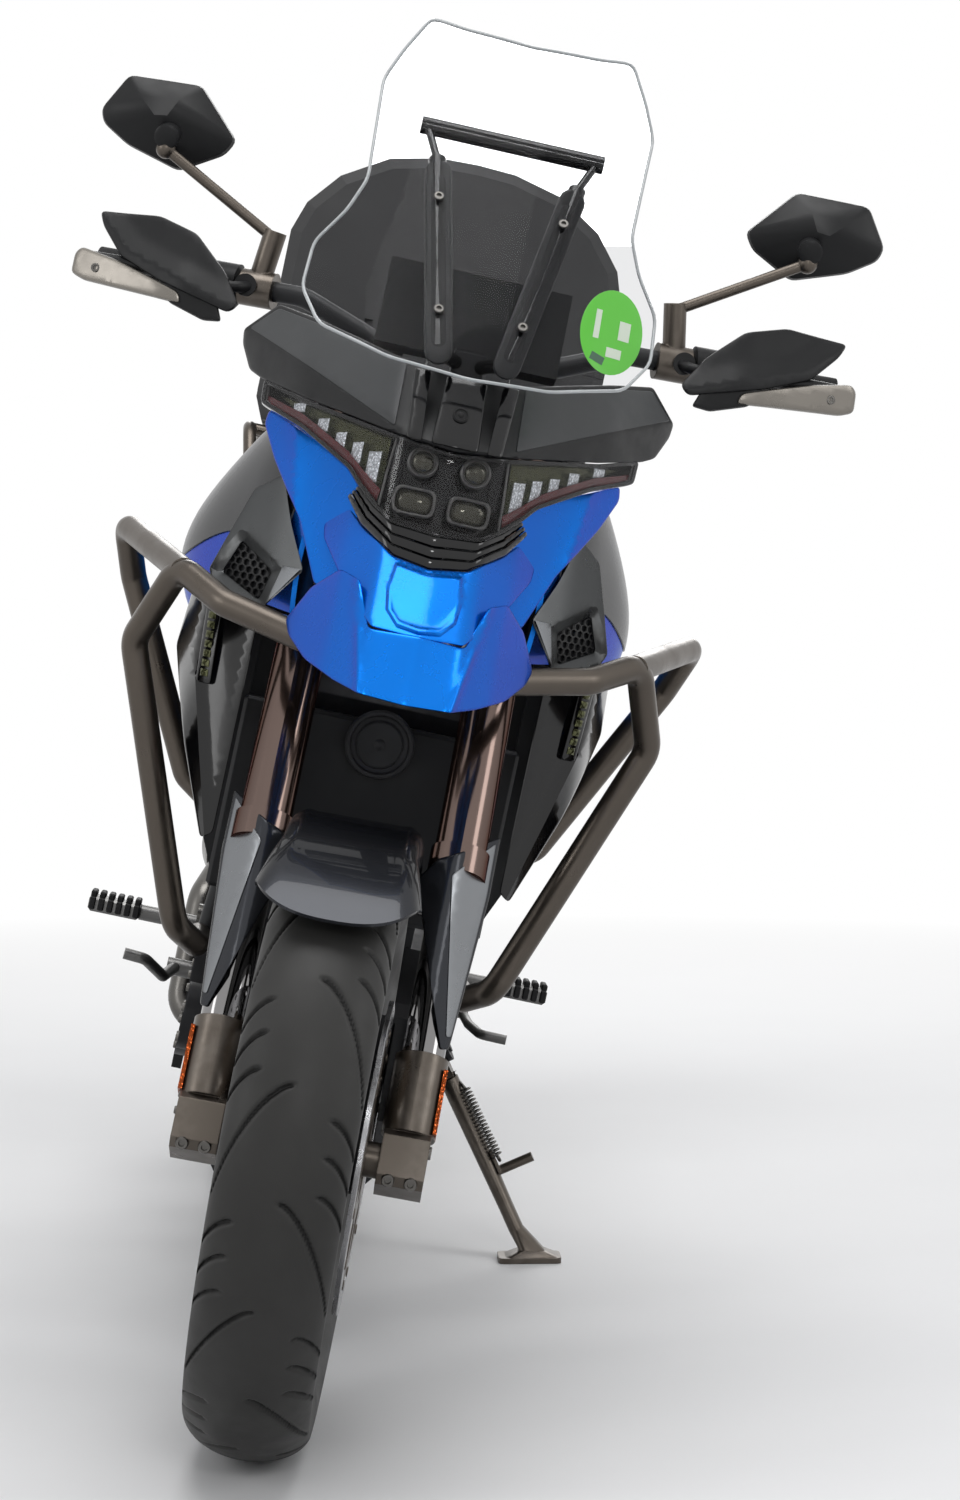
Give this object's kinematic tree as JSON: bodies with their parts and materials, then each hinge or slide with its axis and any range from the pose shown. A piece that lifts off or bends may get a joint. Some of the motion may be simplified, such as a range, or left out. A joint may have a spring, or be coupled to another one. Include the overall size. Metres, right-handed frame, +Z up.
{
  "type": "adventure motorcycle",
  "caption": "Adventure motorcycle with beak, tall windshield, crash bars and top case, leaning on its side stand; wheels, steering, stand and case lid move.",
  "frame": {"origin": "middle of the bounding box, at ground level", "axes": "+X forward along the machine, +Y to the rider's left, +Z up from the ground; the machine leans to +Y on its side stand"},
  "size_m": [2.1161, 0.9052, 1.4337],
  "materials": {
    "frame_black": "satin",
    "bronze": "satin metallic",
    "blue": "metallic gloss",
    "graphite": "metallic gloss",
    "silver": "satin metallic",
    "black_plastic": "matte",
    "gloss_black": "gloss",
    "clear": "clear",
    "lamp_clear": "clear",
    "red_lens": "gloss",
    "orange": "gloss",
    "engine_metal": "satin",
    "alloy": "satin",
    "chrome": "polished",
    "fork_brown": "gloss metallic",
    "steel": "brushed",
    "disc_steel": "brushed",
    "chain_steel": "oiled",
    "rubber": "matte",
    "tyre": "matte",
    "rim": "satin black",
    "seat": "matte",
    "mirror": "polished"
  },
  "bodies": {
    "chassis": {"main_frame": "frame_black", "subframe": "frame_black", "engine": "engine_metal", "chain_drive": "chain_steel", "radiator": "frame_black", "exhaust_pipes": "steel", "silencer": "steel", "swingarm": "alloy", "rear_shafts": "steel", "shock": "steel", "rear_caliper": "frame_black", "fuel_tank": "graphite", "tank_shrouds": "blue", "seats": "seat", "tail_fairing": "black_plastic", "tail_light": "red_lens", "plate_bracket": "black_plastic", "rear_rack": "bronze", "top_case_base": "black_plastic", "nose_frame": "frame_black", "crash_bars": "bronze", "windshield": "clear", "screen_bracket": "black_plastic", "cowl": "black_plastic", "headlight_lens": "lamp_clear", "headlight_housing": "gloss_black", "beak": "blue", "air_inlets": "silver", "side_fairings": "graphite", "dashboard": "black_plastic", "foot_controls": "alloy", "skid_plate": "alloy"},
    "steering": {"fork_uppers": "fork_brown", "fork_tubes": "chrome", "fork_feet": "bronze", "fork_reflectors": "orange", "front_calipers": "frame_black", "front_fender": "graphite", "triple_clamps": "frame_black", "handlebar": "frame_black", "grips": "rubber", "bar_controls": "black_plastic", "mirror_shells": "black_plastic", "mirror_glasses": "mirror", "mirror_stems": "bronze", "guard_arms": "silver", "hand_guards": "black_plastic"},
    "front_wheel": {"front_tyre": "tyre", "front_rim": "rim", "front_discs": "disc_steel"},
    "rear_wheel": {"rear_tyre": "tyre", "rear_rim": "rim", "rear_disc": "disc_steel", "sprocket": "steel"},
    "side_stand": {"side_stand": "bronze"},
    "top_case_lid": {"top_case_lid": "black_plastic"}
  },
  "joints": [
    {"name": "steering", "type": "hinge", "parent": "chassis", "child": "steering", "pos_m": [0.43459, -0.05516, 0.88261], "axis": [-0.4305, 0.1883, 0.8827], "range_deg": [-30.36, 39.64]},
    {"name": "front_wheel_spin", "type": "hinge", "parent": "steering", "child": "front_wheel", "pos_m": [0.75877, -0.18305, 0.29635], "axis": [0.073, 0.9821, -0.1739], "continuous": true},
    {"name": "rear_wheel_spin", "type": "hinge", "parent": "chassis", "child": "rear_wheel", "pos_m": [-0.74613, -0.17795, 0.3069], "axis": [0, 0.978, -0.2086], "continuous": true},
    {"name": "side_stand_fold", "type": "hinge", "parent": "chassis", "child": "side_stand", "pos_m": [-0.14363, -0.01377, 0.25211], "axis": [0.0995, 0.8968, 0.4312], "range_deg": [0, 88]},
    {"name": "top_case_lid_hinge", "type": "hinge", "parent": "chassis", "child": "top_case_lid", "pos_m": [-0.60763, 0.00742, 1.17602], "axis": [0, 0.978, -0.2086], "range_deg": [0, 80]}
  ]
}
